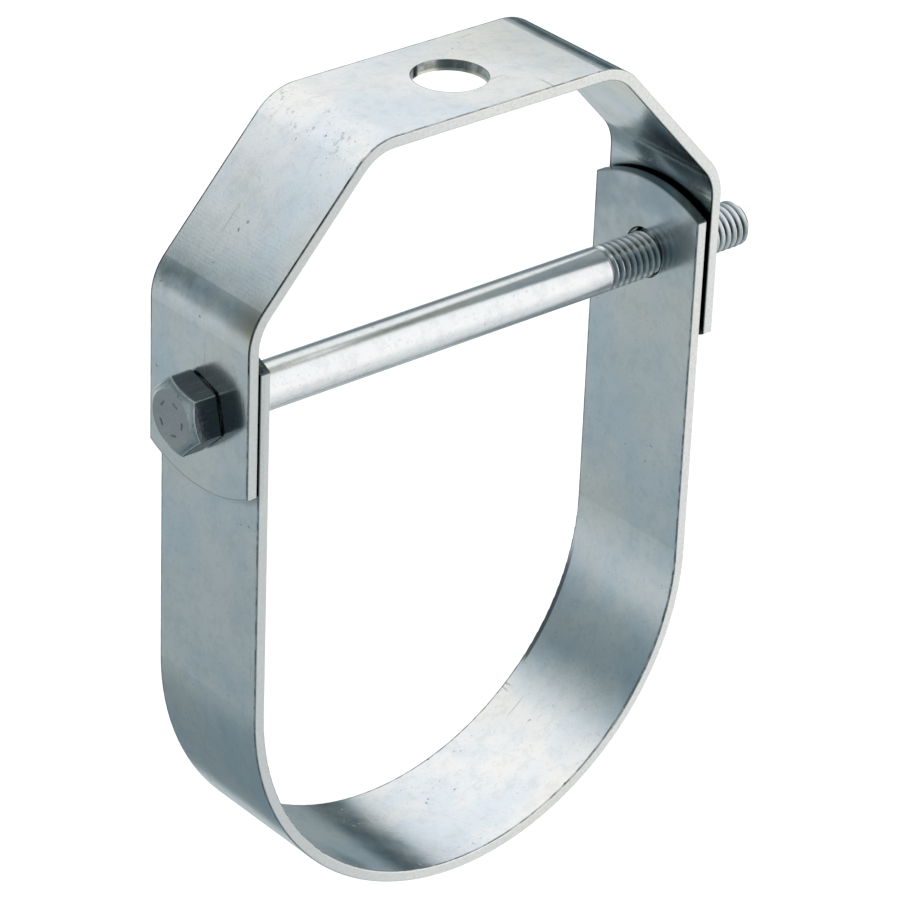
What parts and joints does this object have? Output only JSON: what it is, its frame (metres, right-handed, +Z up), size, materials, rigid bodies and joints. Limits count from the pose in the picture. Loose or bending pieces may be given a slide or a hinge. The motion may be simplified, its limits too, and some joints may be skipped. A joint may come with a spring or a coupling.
{
  "type": "clevis pipe hanger",
  "caption": "Zinc-plated clevis hanger: folded yoke with a rod hole above a U-shaped strap, joined by a long hexagon-head cross bolt, for hanging a pipe",
  "frame": {"origin": "on the rod hole's axis, at the upper face of the yoke's flat top plate", "axes": "X along the cross bolt from its head to its tip, Y across the strip along the pipe, Z up along the hanger rod"},
  "size_m": [0.143, 0.0306, 0.1699],
  "materials": {
    "strip_zinc": "bright zinc plate, satin gloss with faint iridescence",
    "bolt_zinc": "bright zinc plate, glossy"
  },
  "bodies": {
    "yoke": {"upper_yoke": "strip_zinc"},
    "strap": {"lower_strap": "strip_zinc"},
    "bolt": {"cross_bolt": "bolt_zinc"}
  },
  "joints": [
    {"name": "strap_swing", "type": "hinge", "parent": "yoke", "child": "strap", "pos_m": [0, 0, -0.0527], "axis": [1, 0, 0], "range_deg": [-100, 100]},
    {"name": "bolt_spin", "type": "hinge", "parent": "yoke", "child": "bolt", "pos_m": [0, 0, -0.0527], "axis": [1, 0, 0], "continuous": true}
  ]
}
